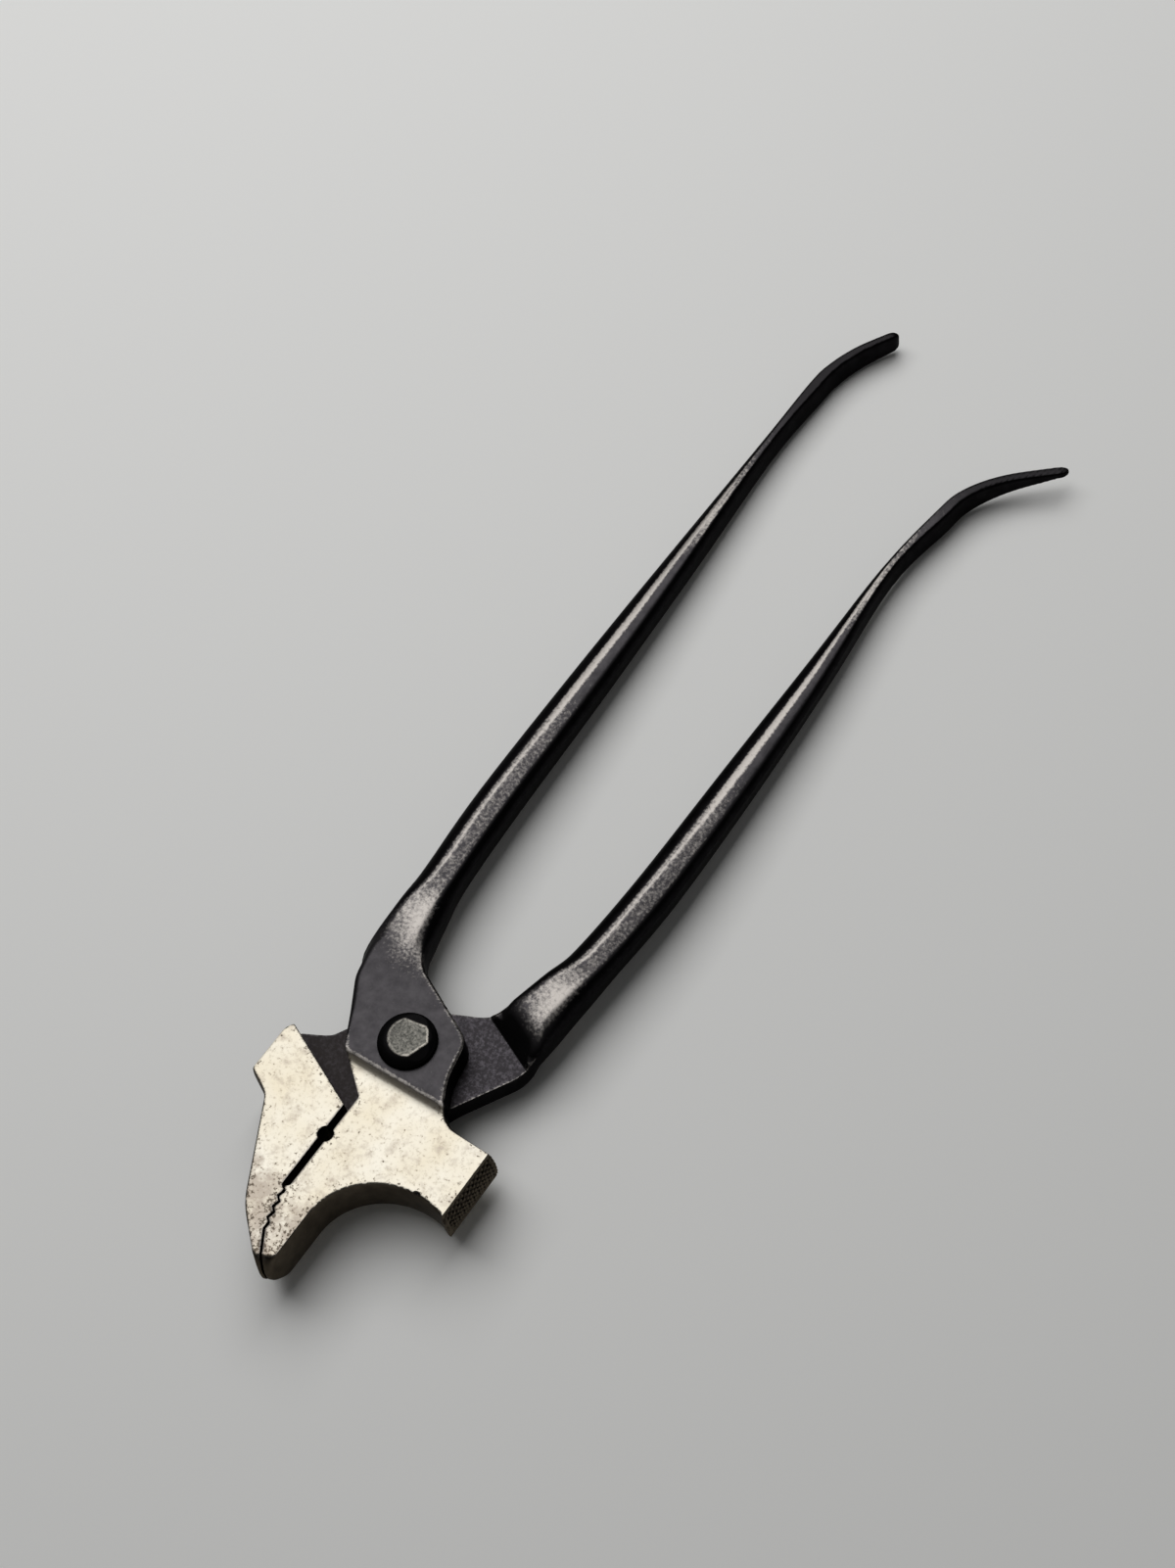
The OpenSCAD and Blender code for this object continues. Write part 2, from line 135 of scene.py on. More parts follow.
# How far the forged walls swell between the two ground faces, the radii of edges and fillets, and how far
# the bar's sides and top are crowned
wall_swell = 0.45
ground_edge_r = 0.18
plate_edge_r = 0.5
outer_edge_r = 1.3
nose_edge_r = 0.6
step_edge_r = 0.3
lap_edge_r = 0.2
least_edge_r = 0.05
step_fillet = 0.7
slope_fillet = 2.0
root_fillet = 1.2
side_crown = 0.06
top_crown = 0.02

# Where they set in: the swell along y and away from the mating edge, the nose's edge away from that edge,
# the plate's edges along y, and the wider rounding towards the handle's side
swell_y = (-5, -8)
swell_mate = (0.8, 3.5)
nose_fade = 4.0
nose_mate = (0.3, 1.2)
plate_edge_y = (-6.5, -4)
outer_edge_x = (-9, -13)


def unit(v):
    """Vectors along the last axis, each divided by its length."""
    return v / np.linalg.norm(v, axis=-1, keepdims=True)


def rounded(corners, steps=9):
    """A closed outline from corners (x, y, r): each corner becomes an arc of radius r that touches both
    of its sides, and stays sharp where r is 0."""
    corners = np.array(corners, float)
    point, r = corners[:, :2], corners[:, 2:]
    back = unit(np.roll(point, 1, axis=0) - point)
    on = unit(np.roll(point, -1, axis=0) - point)
    half = np.arccos((back * on).sum(1, keepdims=True)) / 2
    centre = point + unit(back + on) * r / np.sin(half)
    spoke = point + back * r / np.tan(half) - centre
    turn = np.sign(back[:, :1] * on[:, 1:] - back[:, 1:] * on[:, :1])
    sweep = -turn * (np.pi - 2 * half) * np.linspace(0, 1, steps)
    arcs = np.stack([
        centre[:, :1] + spoke[:, :1] * np.cos(sweep) - spoke[:, 1:] * np.sin(sweep),
        centre[:, 1:] + spoke[:, :1] * np.sin(sweep) + spoke[:, 1:] * np.cos(sweep),
    ], axis=-1).reshape(-1, 2)
    moved = np.linalg.norm(arcs - np.roll(arcs, 1, axis=0), axis=1) > 1e-6
    return arcs[moved]


def path_distance(path, x, y):
    """Distance from each plan point to the nearest side of an open path."""
    best = np.full(x.shape, np.inf)
    for (ax, ay), (bx, by) in zip(path[:-1], path[1:]):
        dx, dy = bx - ax, by - ay
        t = np.clip(((x - ax) * dx + (y - ay) * dy) / (dx * dx + dy * dy), 0, 1)
        best = np.minimum(best, (x - ax - t * dx) ** 2 + (y - ay - t * dy) ** 2)
    return np.sqrt(best)


def outline_distance(outline, x, y):
    """Distance from each plan point to a closed outline, negative inside it by the even-odd rule."""
    inside = np.zeros(x.shape, bool)
    closed = np.vstack([outline, outline[:1]])
    for (ax, ay), (bx, by) in zip(closed[:-1], closed[1:]):
        spans = (ay > y) != (by > y)
        inside ^= spans & (x < ax + (y - ay) * (bx - ax) / ((by - ay) or 1))
    return np.where(inside, -1, 1) * path_distance(closed, x, y)


def neck_at(y):
    """Distance of a neck's middle from the pivot's plane at a place along it."""
    return neck_x - neck_lean * (neck_y - y)


def handle_path(blade_x, blade_y, bow, bend_x, bend_y, sweep, end_y, tip_h, steps=6):
    """Rows (x, y, z, width, height, right share, left share) along a handle: a Catmull-Rom curve through
    stations from inside the plate out to the bar, along the bowed taper to the blade and round a
    parabola, then an elliptic end."""
    root = [
        [neck_at(slope_y / 2), slope_y / 2, lap_z, facet_w, bar_h, edge_share, edge_share],
        [neck_at(slope_y), slope_y, lap_z, root_w, bar_h, edge_share, edge_share],
        [neck_x, neck_y, lap_z, neck_w, bar_h, edge_share, edge_share],
        [(neck_x + spread) / 2, (2 * neck_y + taper_y) / 3, lap_z, bar_w, bar_h, bar_right, facet_left],
    ]
    s = np.linspace(0, 1, 4)
    taper = np.stack([
        spread + (blade_x - spread) * s + bow * 4 * s * (1 - s),
        taper_y + (blade_y - taper_y) * s,
        lap_z - blade_drop * s,
        bar_w + (blade_w - bar_w) * s ** taper_bow,
        bar_h + (blade_h - bar_h) * s,
        np.full_like(s, bar_right),
        [facet_left, taper_left, taper_left, facet_left],
    ], axis=1)
    h = blade_h + (tip_h - blade_h) * s ** 2
    bend = np.stack([
        bend_x + sweep * s ** 2,
        bend_y + (end_y - bend_y) * s,
        lap_z - blade_drop + (blade_h - h) / 2,
        blade_w + (tip_w - blade_w) * s,
        h,
        np.full_like(s, blade_share),
        np.full_like(s, blade_share),
    ], axis=1)
    p = np.vstack([root[0], root, taper, bend, bend[-1]])
    a, b, c, d = (p[i:len(p) - 3 + i, None] for i in range(4))
    f = np.linspace(0, 1, steps, endpoint=False)[None, :, None]
    onward = (c - a) * f + (2 * a - 5 * b + 4 * c - d) * f ** 2 + (3 * b - a - 3 * c + d) * f ** 3
    curve = b + onward / 2
    curve = np.vstack([curve.reshape(-1, 7), bend[-1]])
    ahead = unit(curve[-1, :2] - curve[-2, :2])
    angle = np.linspace(0, tip_turn, 7)[1:, None]
    end = np.hstack([
        bend[-1, :2] + ahead * tip_w * np.sin(angle),
        np.full_like(angle, bend[-1, 2]),
        tip_w * np.cos(angle),
        tip_h * (1 + np.cos(angle)) / 2,
        np.full_like(angle, blade_share),
        np.full_like(angle, blade_share),
    ])
    return np.vstack([curve, end])


def along_path(path, x, y):
    """For each plan point, the place of the nearest point of a path, counted in its steps, the distance
    to it across the path, positive to the right, and the run past the path's end."""
    best = np.full(x.shape, np.inf)
    place, past, right = np.zeros(x.shape), np.zeros(x.shape), np.zeros(x.shape)
    last = len(path) - 2
    for i, ((ax, ay), (bx, by)) in enumerate(zip(path[:-1], path[1:])):
        dx, dy = bx - ax, by - ay
        run = ((x - ax) * dx + (y - ay) * dy) / (dx * dx + dy * dy)
        t = np.clip(run, 0, np.inf if i == last else 1)
        off = (x - ax - t * dx) ** 2 + (y - ay - t * dy) ** 2
        near = off < best
        best = np.where(near, off, best)
        place = np.where(near, i + np.minimum(t, 1), place)
        past = np.where(near, np.maximum(t - 1, 0) * np.hypot(dx, dy), past)
        right = np.where(near, np.sign(dy * (x - ax) - dx * (y - ay)), right)
    return place, right * np.sqrt(best), past


def smooth_step(low, high, v):
    """0 below low, 1 above high, and a cubic ease between them."""
    t = np.clip((v - low) / (high - low), 0, 1)
    return t * t * (3 - 2 * t)


def round_meet(a, b, r):
    """What lies in both solids, with the edge where they meet rounded to the radius r."""
    corner = np.hypot(np.maximum(a + r, 0), np.maximum(b + r, 0))
    return np.minimum(np.maximum(a, b), -r) + corner


def soft_join(a, b, k):
    """What lies in either solid, with a fillet of about the size k where they meet."""
    return np.minimum(a, b) - np.maximum(k - np.abs(a - b), 0) ** 2 / (4 * k)


def eased(v, rise, full, fade, end):
    """The product of an ease in from rise to full and an ease out from fade to end."""
    return smooth_step(rise, full, v) * smooth_step(end, fade, v)


def roll_at(y):
    """How far a handle's section is rolled to the right at a place along it."""
    return handle_roll * eased(y, *roll_span)


# The plan maps' extents in x and y and their step, over the head and over the handles
head_map = ((-26, 27), (-47, 30), 0.18)
handle_map = ((-30, 42), (0, 182), 0.45)


def plan_lookup(outline, mating_edge, path):
    """A function of x and y that gives the distance to a lever's outline, the distance to its mating
    edge, and its handle's place, offset, distance and run past the end, read bilinearly from maps
    worked out once."""
    def map_lines(x_range, y_range, step):
        return np.arange(*x_range, step), np.arange(*y_range, step)

    def lookup(maps, gx, gy):
        def at(x, y):
            x, y = np.broadcast_arrays(x, y)
            i = np.clip(np.searchsorted(gx, x) - 1, 0, gx.size - 2)
            j = np.clip(np.searchsorted(gy, y) - 1, 0, gy.size - 2)
            u = np.clip((x - gx[i]) / (gx[i + 1] - gx[i]), 0, 1)
            v = np.clip((y - gy[j]) / (gy[j + 1] - gy[j]), 0, 1)
            return [
                (m[i, j] * (1 - u) + m[i + 1, j] * u) * (1 - v)
                + (m[i, j + 1] * (1 - u) + m[i + 1, j + 1] * u) * v
                for m in maps
            ]
        return at

    hx, hy = map_lines(*head_map)
    x, y = np.meshgrid(hx, hy, indexing="ij")
    head = lookup([outline_distance(outline, x, y), path_distance(mating_edge, x, y)], hx, hy)
    bx, by = map_lines(*handle_map)
    x, y = np.meshgrid(bx, by, indexing="ij")
    place, across, past = along_path(path[:, :2], x, y)
    bar = lookup([place, across, np.abs(across), past], bx, by)
    return lambda x, y: head(x, y) + bar(x, y)


def forging(x, y, z, side, plan, path):
    """Signed distance to a lever's forging: its plan outline between the two faces, with swelling walls,
    a round nose, a raised plate with a bevelled step, and the handle joined on by a fillet. The lap with
    its leaning shoulder, the bore and the nail hole are cut out. The lever lies plate up for side 1 and
    plate down for side -1."""
    edge, mate, place, across, away, past = plan(x, y)
    across = np.where(y < slope_y, away, across)
    up = side * (z - lap_z)
    in_head = smooth_step(*swell_y, y) * smooth_step(-jaw_reach, nose_fade - jaw_reach, y)
    swell = wall_swell * np.sqrt(np.clip(1 - (up / half_t) ** 2, 0, 1))
    wall = edge - swell * smooth_step(*swell_mate, mate) * in_head
    back = (y - nose_point[1]) * np.cos(nose_cut) - (x - nose_point[0]) * np.sin(nose_cut)
    ahead = np.minimum(back - nose_r, 0)
    nose = np.hypot(ahead, up) - nose_r
    corner = ground_edge_r + (nose_edge_r - ground_edge_r) * smooth_step(*nose_mate, mate)
    wall = np.where(ahead < 0, round_meet(wall, nose, corner), wall)

    drop, run = half_t + plate_rise - facet_h / 2, neck_y - slope_y
    slope = ((up - half_t - plate_rise) * run + (y - slope_y) * drop) / np.hypot(run, drop)
    foot = y - side * step_slant * x + step_y + step_run
    step = ((up - half_t) * step_run - foot * plate_rise) / np.hypot(step_run, plate_rise)
    plate = -soft_join(half_t + plate_rise - up, -slope, slope_fillet)
    plate = round_meet(plate, step, step_edge_r)
    head = np.maximum(up - half_t, y)
    low = np.where(y < 0, -up - half_t, -up - facet_h / 2)
    faces = np.maximum(soft_join(head, plate, step_fillet), low)
    edge_r = plate_edge_r + (outer_edge_r - plate_edge_r) * smooth_step(*outer_edge_x, side * x)
    edge_r = ground_edge_r + (edge_r - ground_edge_r) * smooth_step(*plate_edge_y, y)
    body = round_meet(wall, faces, edge_r)

    steps = np.arange(len(path))
    centre, w, h, right, left = (np.interp(place, steps, path[:, k]) for k in (2, 3, 4, 5, 6))
    turn = roll_at(y)
    off = (across * np.cos(turn) - (z - centre) * np.sin(turn)) / (w / 2)
    rise = np.abs(across * np.sin(turn) + (z - centre) * np.cos(turn)) / (h / 2)
    on_right = off > left - right
    share = np.where(on_right, right, left)
    rx, rz = share * w, np.minimum(share, most_tall) * h
    out = np.where(on_right, off, -off)
    tiny = 1e-4
    u = np.maximum((out - 1 + side_crown * rise ** 2) * w / 2 + rx, tiny) / rx
    v = np.maximum((rise - 1 + top_crown * off ** 2) * h / 2 + rz, tiny) / rz
    k = np.sqrt(u ** 2 + v ** 2 + (past / rx) ** 2)
    bar = k * (k - 1) / np.sqrt((u / rx) ** 2 + (v / rz) ** 2 + (past / rx ** 2) ** 2)
    body = soft_join(body, bar, root_fillet)

    s = y * np.cos(shoulder_angle) - side * x * np.sin(shoulder_angle)
    depth = lap_gap / 2 - up
    ramp = (s - shoulder) * np.cos(shoulder_lean) - depth * np.sin(shoulder_lean)
    lap = np.maximum(np.maximum(-depth, -shoulder - s), ramp)
    crest_r = lap_edge_r + (shoulder_r - lap_edge_r) * smooth_step(shoulder, shoulder + shoulder_run, s)
    body = round_meet(body, -lap, crest_r * smooth_step(0, shoulder_r, depth) + least_edge_r)
    body = np.maximum(body, bore_r - np.hypot(x, y))
    return round_meet(body, nail_r - np.hypot(x + gap_offset, y + nail_y), ground_edge_r)


def slopes(field, p, reach=0.02):
    """Gradient of a field at points p, by central differences over a small reach."""
    grad = np.empty_like(p)
    for axis in range(3):
        off = np.zeros(3)
        off[axis] = reach
        grad[:, axis] = (field(*(p + off).T) - field(*(p - off).T)) / (2 * reach)
    return grad


def skin(field, gx, gy, gz, hold=0.08):
    """Surface where a field is zero, by dual contouring: each grid cell that it crosses gets one point,
    the least-squares meeting point of the tangent planes where the cell's sides are cut, held a little
    to the middle of those cuts, and each cut side gives one face through the four cells around it.
    Returns points and four-sided faces."""
    grid = (gx, gy, gz)
    value = field(gx[:, None, None], gy[None, :, None], gz[None, None, :])
    cells = np.array(value.shape) - 1
    stride = np.array([cells[1] * cells[2], cells[2], 1])
    points, normals, around, faces = [], [], [], []
    for axis in range(3):
        side = np.eye(3, dtype=int)[axis]
        near = value[tuple(slice(0, n) for n in np.array(value.shape) - side)]
        far = value[tuple(slice(s, None) for s in side)]
        at = np.argwhere((near < 0) != (far < 0))
        a, b = near[tuple(at.T)], far[tuple(at.T)]
        first = np.stack([g[i] for g, i in zip(grid, at.T)], axis=1)
        second = np.stack([g[i] for g, i in zip(grid, (at + side).T)], axis=1)
        p = first + (second - first) * (a / (a - b))[:, None]
        g = slopes(field, p)
        p -= g * (field(*p.T) / (g ** 2).sum(1))[:, None]
        one, two = np.roll(side, 1), np.roll(side, 2)
        turns = ((1, 1), (0, 1), (0, 0), (1, 0))
        ring = np.stack([(at - i * one - j * two) @ stride for i, j in turns], axis=1)
        points.append(np.clip(p, np.minimum(first, second), np.maximum(first, second)))
        normals.append(unit(g))
        around.append(ring)
        faces.append(np.where((a < 0)[:, None], ring, ring[:, ::-1]))
    points, normals, around = (np.vstack(v) for v in (points, normals, around))
    crossed, cell = np.unique(around, return_inverse=True)
    cell = cell.reshape(-1)
    p, n = np.repeat(points, 4, axis=0), np.repeat(normals, 4, axis=0)

    def summed(v):
        return np.bincount(cell, v, minlength=crossed.size)

    count = summed(np.ones(cell.size))
    middle = np.stack([summed(p[:, k]) for k in range(3)], axis=1) / count[:, None]
    rest = (n * (p - middle[cell])).sum(1)
    square = np.empty((crossed.size, 3, 3))
    for i in range(3):
        for j in range(3):
            square[:, i, j] = summed(n[:, i] * n[:, j]) + (hold if i == j else 0)
    wanted = np.stack([summed(n[:, k] * rest) for k in range(3)], axis=1)
    vertex = middle + np.linalg.solve(square, wanted[:, :, None])[:, :, 0]
    corner = np.stack(np.unravel_index(crossed, cells), axis=1)
    low = np.stack([g[i] for g, i in zip(grid, corner.T)], axis=1)
    high = np.stack([g[i + 1] for g, i in zip(grid, corner.T)], axis=1)
    return np.clip(vertex, low, high), np.searchsorted(crossed, np.vstack(faces))


# Where the scale is worn off: the reach under the surface at which edges show, how far they have to show
# and to face up, the cosine of the tilt at which each part of the handle is worn, how much of the scale
# is off, and where along y that eases in and out. The extra on edges facing right, the sheen across the
# neck and the streaks on the handle's left edge and crown are painted highlights.
rim_reach = 0.8
rim_shows = (0.02, 0.14)
rim_faces_up = (0.1, 0.5)
rim_wear = 0.45
rim_highlight_to_right = 0.45
rim_end = (110, 96)
neck_wear_and_sheen = 0.36
neck_span = (7, 17, 20, 29)
neck_sheen_across = (-2.0, 2.0)
facet_tilt = (0.955, 0.985)
facet_wear = 0.23
facet_span = (13, 22, 62, 82)
left_tilt = (0.89, 0.94, 0.975, 0.997)
left_lean = (0, -0.05)
left_highlight = 0.36
left_start = (20, 30)
far_left_highlight = 0.26
far_left_start = (58, 78)
left_end = (150, 108)
crown_tilt = (0.945, 0.99)
crown_streak_highlight = 0.5
crown_span = (104, 122, 112, 152)
ridge_wear = 0.42

# The other parts of the finish: the ground faces by tilt and by depth under them, the band and ridge of
# the step by the distance from its foot, the jaws' tips along y, the greyer level flats of the head and
# the bar, partly rubbed scale and partly painted light on the tops with painted shade on the sides, with
# the blades' darker ends, the lap, the walls, the struck face along x, the pits near edges and at the
# tips, and the painted shade in hollows and on the left of the lap
ground_tilt = (0.75, 0.95)
ground_depth = (0.3, 0.1)
band_span = (-0.1, 0.25, 0.95, 1.3)
band_bright = 0.3
ridge_span = (1.0, 1.3, 1.55, 2.0)
tip_span = (-24, -38)
head_grey = 0.55
bar_grey = 0.88
full_grey = 0.97
bar_span = (14, 24)
blade_dark = 0.7
blade_span = (134, 154)
lap_near = (0.15, 0.05)
lap_tilt = (0.8, 0.95)
wall_tilt = (0.8, 0.6)
struck_tilt = (0.75, 0.6)
struck_span = (22.3, 22.8)
crest_reach = 2.0
crest_pits = 0.14
tip_pits = 0.08
# Painted shade: hollows and the left part of the lap are darkened towards near-black by these amounts
hollow_reach = 0.5
hollow_shows = (0.15, 0.5)
hollow_shade_amount = 0.75
lap_shade_amount = 0.7
lap_shade_span = (2, -5)
crease = np.radians(38)


def lever_mesh(name, field, side, gx, gy, gz):
    """The lever's mesh in metres, with what its finish needs at each point: how far the scale is worn off
    at convex edges that face up or down, more on those facing right as a painted highlight, on the ridge
    of the step and on the neck, facet, left edge and crown of the handle, where the sheen across the neck
    and the streaks on the left edge and crown are painted highlights, how grey the point is by how level
    it lies, partly rubbed flats and partly painted light on the tops with painted shade on the sides, how
    far it belongs to the ground faces, the jaws' tip, the lap face, the bare walls of the head or the
    struck face, how much it is pitted, and how much painted shade darkens it in a hollow or on the left
    of the lap. At a reach under an edge or over a hollow the field is nearer to 0 than the reach."""
    p, faces = skin(field, gx, gy, gz)
    mesh = bpy.data.meshes.new(name)
    mesh.from_pydata(p * MM, [], faces)
    n = unit(slopes(field, p, reach=0.05))
    x, y, up = p[:, 0], p[:, 1], side * (p[:, 2] - lap_z)

    # Level is the cosine of the tilt out of the rolled plane, and lean is how far it tilts to the right
    turn = roll_at(y)
    facing = n[:, 0] * np.sin(turn) + n[:, 2] * np.cos(turn)
    lean = np.sign(facing) * (n[:, 0] * np.cos(turn) - n[:, 2] * np.sin(turn))
    level = np.abs(facing)
    flat = smooth_step(*ground_tilt, level)
    rim, crest = (1 + field(*(p - reach * n).T) / reach for reach in (rim_reach, crest_reach))
    rim = smooth_step(*rim_shows, rim) * smooth_step(*rim_end, y)
    rim_up = smooth_step(*rim_faces_up, np.abs(n[:, 2]))
    hollow = 1 - field(*(p + hollow_reach * n).T) / hollow_reach

    outer = smooth_step(*(half_t - depth for depth in ground_depth), np.abs(up))
    foot = y - side * step_slant * x + step_y + step_run
    band, ridge = (eased(foot, *span) * outer for span in (band_span, ridge_span))
    head = smooth_step(band_span[1], band_span[0], foot)
    tip = smooth_step(*tip_span, y)
    lap = smooth_step(*lap_near, np.abs(up - lap_gap / 2)) * smooth_step(*lap_tilt, level)
    beside = x + side * neck_at(y)
    # Bare on the neck, rising across it towards the right on both levers as a painted sheen
    neck = flat * eased(y, *neck_span) * (1 + smooth_step(*neck_sheen_across, beside)) / 2
    facet = smooth_step(*facet_tilt, level) * eased(y, *facet_span)
    # Painted highlight: a bare streak along the left-leaning side of the handle's top, on the same side
    # for both levers
    left_streak_highlight = eased(level, *left_tilt) * smooth_step(*left_lean, lean) * smooth_step(*left_end, y)
    left_streak_highlight *= left_highlight * smooth_step(*left_start, y) + far_left_highlight * smooth_step(*far_left_start, y)
    # Painted highlight: a bare streak on the crown towards the handle's end
    crown = smooth_step(*crown_tilt, level) * eased(y, *crown_span)
    # Edges facing right are bared more, as a painted highlight
    rim_wear_and_highlight = rim_wear * rim * rim_up * (1 - rim_highlight_to_right + rim_highlight_to_right * n[:, 0])
    bar_wear_and_highlight = neck_wear_and_sheen * neck + facet_wear * facet + left_streak_highlight + crown_streak_highlight * crown
    # Greyer the more level the point lies: partly rubbed scale, partly painted light on the tops and
    # painted shade on the steeper sides; darker at the blades' ends
    least_grey = head_grey + (bar_grey - head_grey) * smooth_step(*bar_span, y)
    flat_grey_and_side_shade = smooth_step(least_grey, full_grey, level) * (1 - blade_dark * smooth_step(*blade_span, y))
    # Painted shade in concave hollows and on the left part of the lap
    shade_in_hollow = hollow_shade_amount * smooth_step(*hollow_shows, hollow)
    shade_in_lap = lap_shade_amount * lap * smooth_step(*lap_shade_span, x)
    finish = {
        "wear_and_highlight": rim_wear_and_highlight + bar_wear_and_highlight + ridge_wear * ridge,
        "level": flat_grey_and_side_shade,
        "ground": flat * head * outer + band_bright * band,
        "pitted": crest_pits * crest + tip_pits * tip,
        "tip": tip,
        "lap": lap,
        "wall": np.maximum(head * smooth_step(*wall_tilt, level), band),
        "struck": smooth_step(*struck_span, x) * head * smooth_step(*struck_tilt, level),
        "rim": rim,
        "painted_shade": np.maximum(shade_in_hollow, shade_in_lap),
    }
    for key, value in finish.items():
        layer = mesh.attributes.new(key, "FLOAT", "POINT")
        layer.data.foreach_set("value", np.clip(value, 0, 1).astype("f"))
    mesh.shade_smooth()
    mesh.set_sharp_from_angle(angle=crease)
    return mesh


# Jaw edges: down the leaning teeth to their end, then slanting past the nose
down_grip = np.array([np.sin(tooth_angle), -np.cos(tooth_angle)])
across_grip = np.array([np.cos(tooth_angle), np.sin(tooth_angle)])
down_nose = np.array([np.sin(nose_angle), -np.cos(nose_angle)])
grip_start = np.array([-gap_offset, -grip_y])
tooth = np.arange(2 * teeth)[:, None]
tip_or_notch = tooth // 2 + tooth % 2 * tooth_lean
zigzag = grip_start + tip_or_notch * tooth_pitch * down_grip
zigzag = zigzag + (tooth % 2 - 0.5) * tooth_depth * across_grip
grip_end = grip_start + teeth * tooth_pitch * down_grip
nose_point = grip_end + (jaw_reach + grip_end[1]) / np.cos(nose_angle) * down_nose
past_nose = nose_point + down_nose
grip_edge = np.hstack([np.vstack([zigzag, grip_end, past_nose]), np.zeros((2 * teeth + 2, 1))])

# Plan of the hammer lever as corners (x, y, radius), from its teeth round the hollow, hammer, plate and
# neck, and its handle
corner_r = 0.6
hammer_grip = grip_edge + [grip_gap / 2, 0, 0]
hammer_gap_x = jaw_gap / 2 - gap_offset
hollow_x = nose_point[0] + grip_gap / 2 + hammer_jaw_w + hollow_rx
hollow_y = -hammer_y - hammer_w + hollow_rise - hollow_ry
hollow_end = np.arccos((hammer_reach - hammer_lip - hollow_x) / hollow_rx)
hollow_angle = np.linspace(np.pi, hollow_end, 40)[:, None]
hollow_arc = np.hstack([
    hollow_x + hollow_rx * np.cos(hollow_angle),
    hollow_y + hollow_ry * np.sin(hollow_angle),
    0 * hollow_angle,
])
hammer_root = [-15.8, 5.2, 8]
hammer_throat = [
    [-9, -6.1, 6],
    [hammer_gap_x, -throat_y, corner_r],
    [hammer_gap_x, tooth_depth - grip_y, 0],
]
hammer_outline = rounded(np.vstack([
    hammer_grip,
    [hollow_x - hollow_rx, past_nose[1], 0],
    hollow_arc,
    [hammer_reach, -hammer_y - hammer_w, corner_r],
    [hammer_reach, -hammer_y, corner_r],
    [13.4, -hammer_y, 5],
    [9.7, -1.6, 10],
    [8.3, 5.6, 4],
    [-7, 12.9, 8],
    [facet_w / 2 - neck_x, neck_y, 0],
    [-facet_w / 2 - neck_x, neck_y, 0],
    [-17.4, 11.5, 6],
    hammer_root,
    hammer_throat,
]))
hammer_mating = np.vstack([hammer_root, hammer_throat, hammer_grip])[:, :2]
hammer_path = handle_path(
    blade_x=19.6, blade_y=140.0, bow=0.0, bend_x=19.1, bend_y=157.0, sweep=-6.2, end_y=174.9, tip_h=4.4
) * [-1, 1, 1, 1, 1, 1, 1]
hammer_plan = plan_lookup(hammer_outline, hammer_mating, hammer_path)


def hammer_field(x, y, z):
    """The hammer lever: its forging behind a crowned striking face that crossed V grooves cut into, with
    small balls taken out of its upper edge as chips."""
    body = forging(x, y, z, 1, hammer_plan, hammer_path)
    up, along = z - lap_z, y + hammer_y + hammer_w / 2
    for chip_x, chip_y, chip_r in edge_chips:
        chip_up = up - half_t - chip_rise
        body = np.maximum(body, chip_r - np.sqrt((x - chip_x) ** 2 + (y - chip_y) ** 2 + chip_up ** 2))
    groove = [
        checker_depth - np.abs(v - checker_pitch * np.round(v / checker_pitch))
        for v in ((along + up) / np.sqrt(2), (along - up) / np.sqrt(2))
    ]
    margin = half_t - checker_margin
    depth = np.maximum(np.maximum(*groove), 0) * smooth_step(margin, margin - checker_fade, np.abs(up))
    crown = np.hypot(x - hammer_reach + crown_r, up) - crown_r
    crown = crown + depth * smooth_step(checker_from, checker_full, x)
    return np.where(x > crown_from, round_meet(body, crown, ground_edge_r), body)


def lever_grid(low_x, high_x, end_y, fine=0.27, long=0.85, fine_y=26, past=1.4, below=5.8, above=5.9):
    """Grid lines in x, y and z: fine across the handle and from a little past the nose to fine_y, then in
    long steps along the handle."""
    rows = np.concatenate([np.arange(-jaw_reach - past, fine_y, fine), np.arange(fine_y, end_y, long)])
    return np.arange(low_x, high_x, fine), rows, np.arange(lap_z - below, lap_z + above, fine)


hammer_mesh = lever_mesh("hammer_lever_forging", hammer_field, 1, *lever_grid(-27.5, 25, 180))


def linear(code):
    """Linear RGBA of an sRGB hex colour."""
    srgb = np.array([int(code[i:i + 2], 16) for i in (1, 3, 5)]) / 255
    return (*np.where(srgb > 0.04045, ((srgb + 0.055) / 1.055) ** 2.4, srgb / 12.92), 1.0)


def add_node(tree, kind, links=None, **settings):
    """Adds a node of a kind, sets its properties, and sets or links its inputs by name or number."""
    made = tree.nodes.new("ShaderNode" + kind)
    for key, value in settings.items():
        setattr(made, key, value)
    for key, value in (links or {}).items():
        if isinstance(value, bpy.types.NodeSocket):
            tree.links.new(value, made.inputs[key])
        else:
            made.inputs[key].default_value = value
    return made


# Forged tool steel under black scale: satin near-black that is greyer on the level flats, partly rubbed
# scale and partly painted light on the tops with painted shade on the sides, rubbed to bare warm grey in
# specks along edges and necks, where the extra on right-facing edges, the sheen across the necks and the
# streaks on the handles' left edges and crowns are painted highlights. Near-black painted shade fills the
# hollows and the left of the lap. The ground faces shine cream with dark pits, mottled at the tips. The
# grain is drawn coarser than real scale has it, so that it shows. Its sizes are in millimetres.
grain_size = 0.6
mottle_size = 2.2
cloud_size = 9.0
grain_height = 0.06
scale_roughness = 0.36
ground_roughness = 0.3
grain_roughness = 0.1
steel = bpy.data.materials.new("forged_steel_scale_and_ground")
steel.use_nodes = True
tree = steel.node_tree
tree.nodes.clear()
place = add_node(tree, "TexCoord").outputs["Object"]


